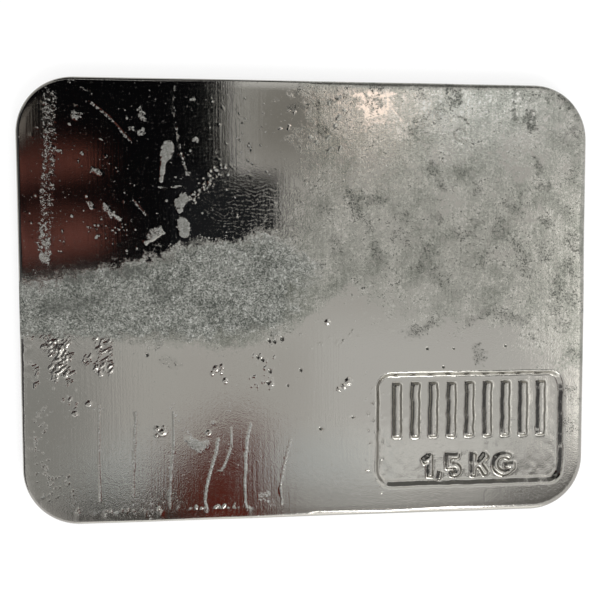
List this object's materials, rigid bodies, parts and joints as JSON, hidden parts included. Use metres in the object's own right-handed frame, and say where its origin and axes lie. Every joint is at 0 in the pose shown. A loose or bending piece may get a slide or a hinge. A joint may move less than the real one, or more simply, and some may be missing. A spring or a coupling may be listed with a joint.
{
  "type": "lead plate",
  "caption": "Flat cast lead ballast plate with rounded corners, smooth drafted edges and a sunken marking panel in one corner of its face.",
  "frame": {"origin": "middle of the flat back, on the floor it lies on", "axes": "+X along the plate's length towards the panel's end, +Y across its width away from the panel's corner, +Z out of the marked face"},
  "size_m": [0.17, 0.131, 0.0061],
  "materials": {
    "lead": "satin"
  },
  "bodies": {
    "root": {"lead_plate": "lead"}
  },
  "joints": []
}
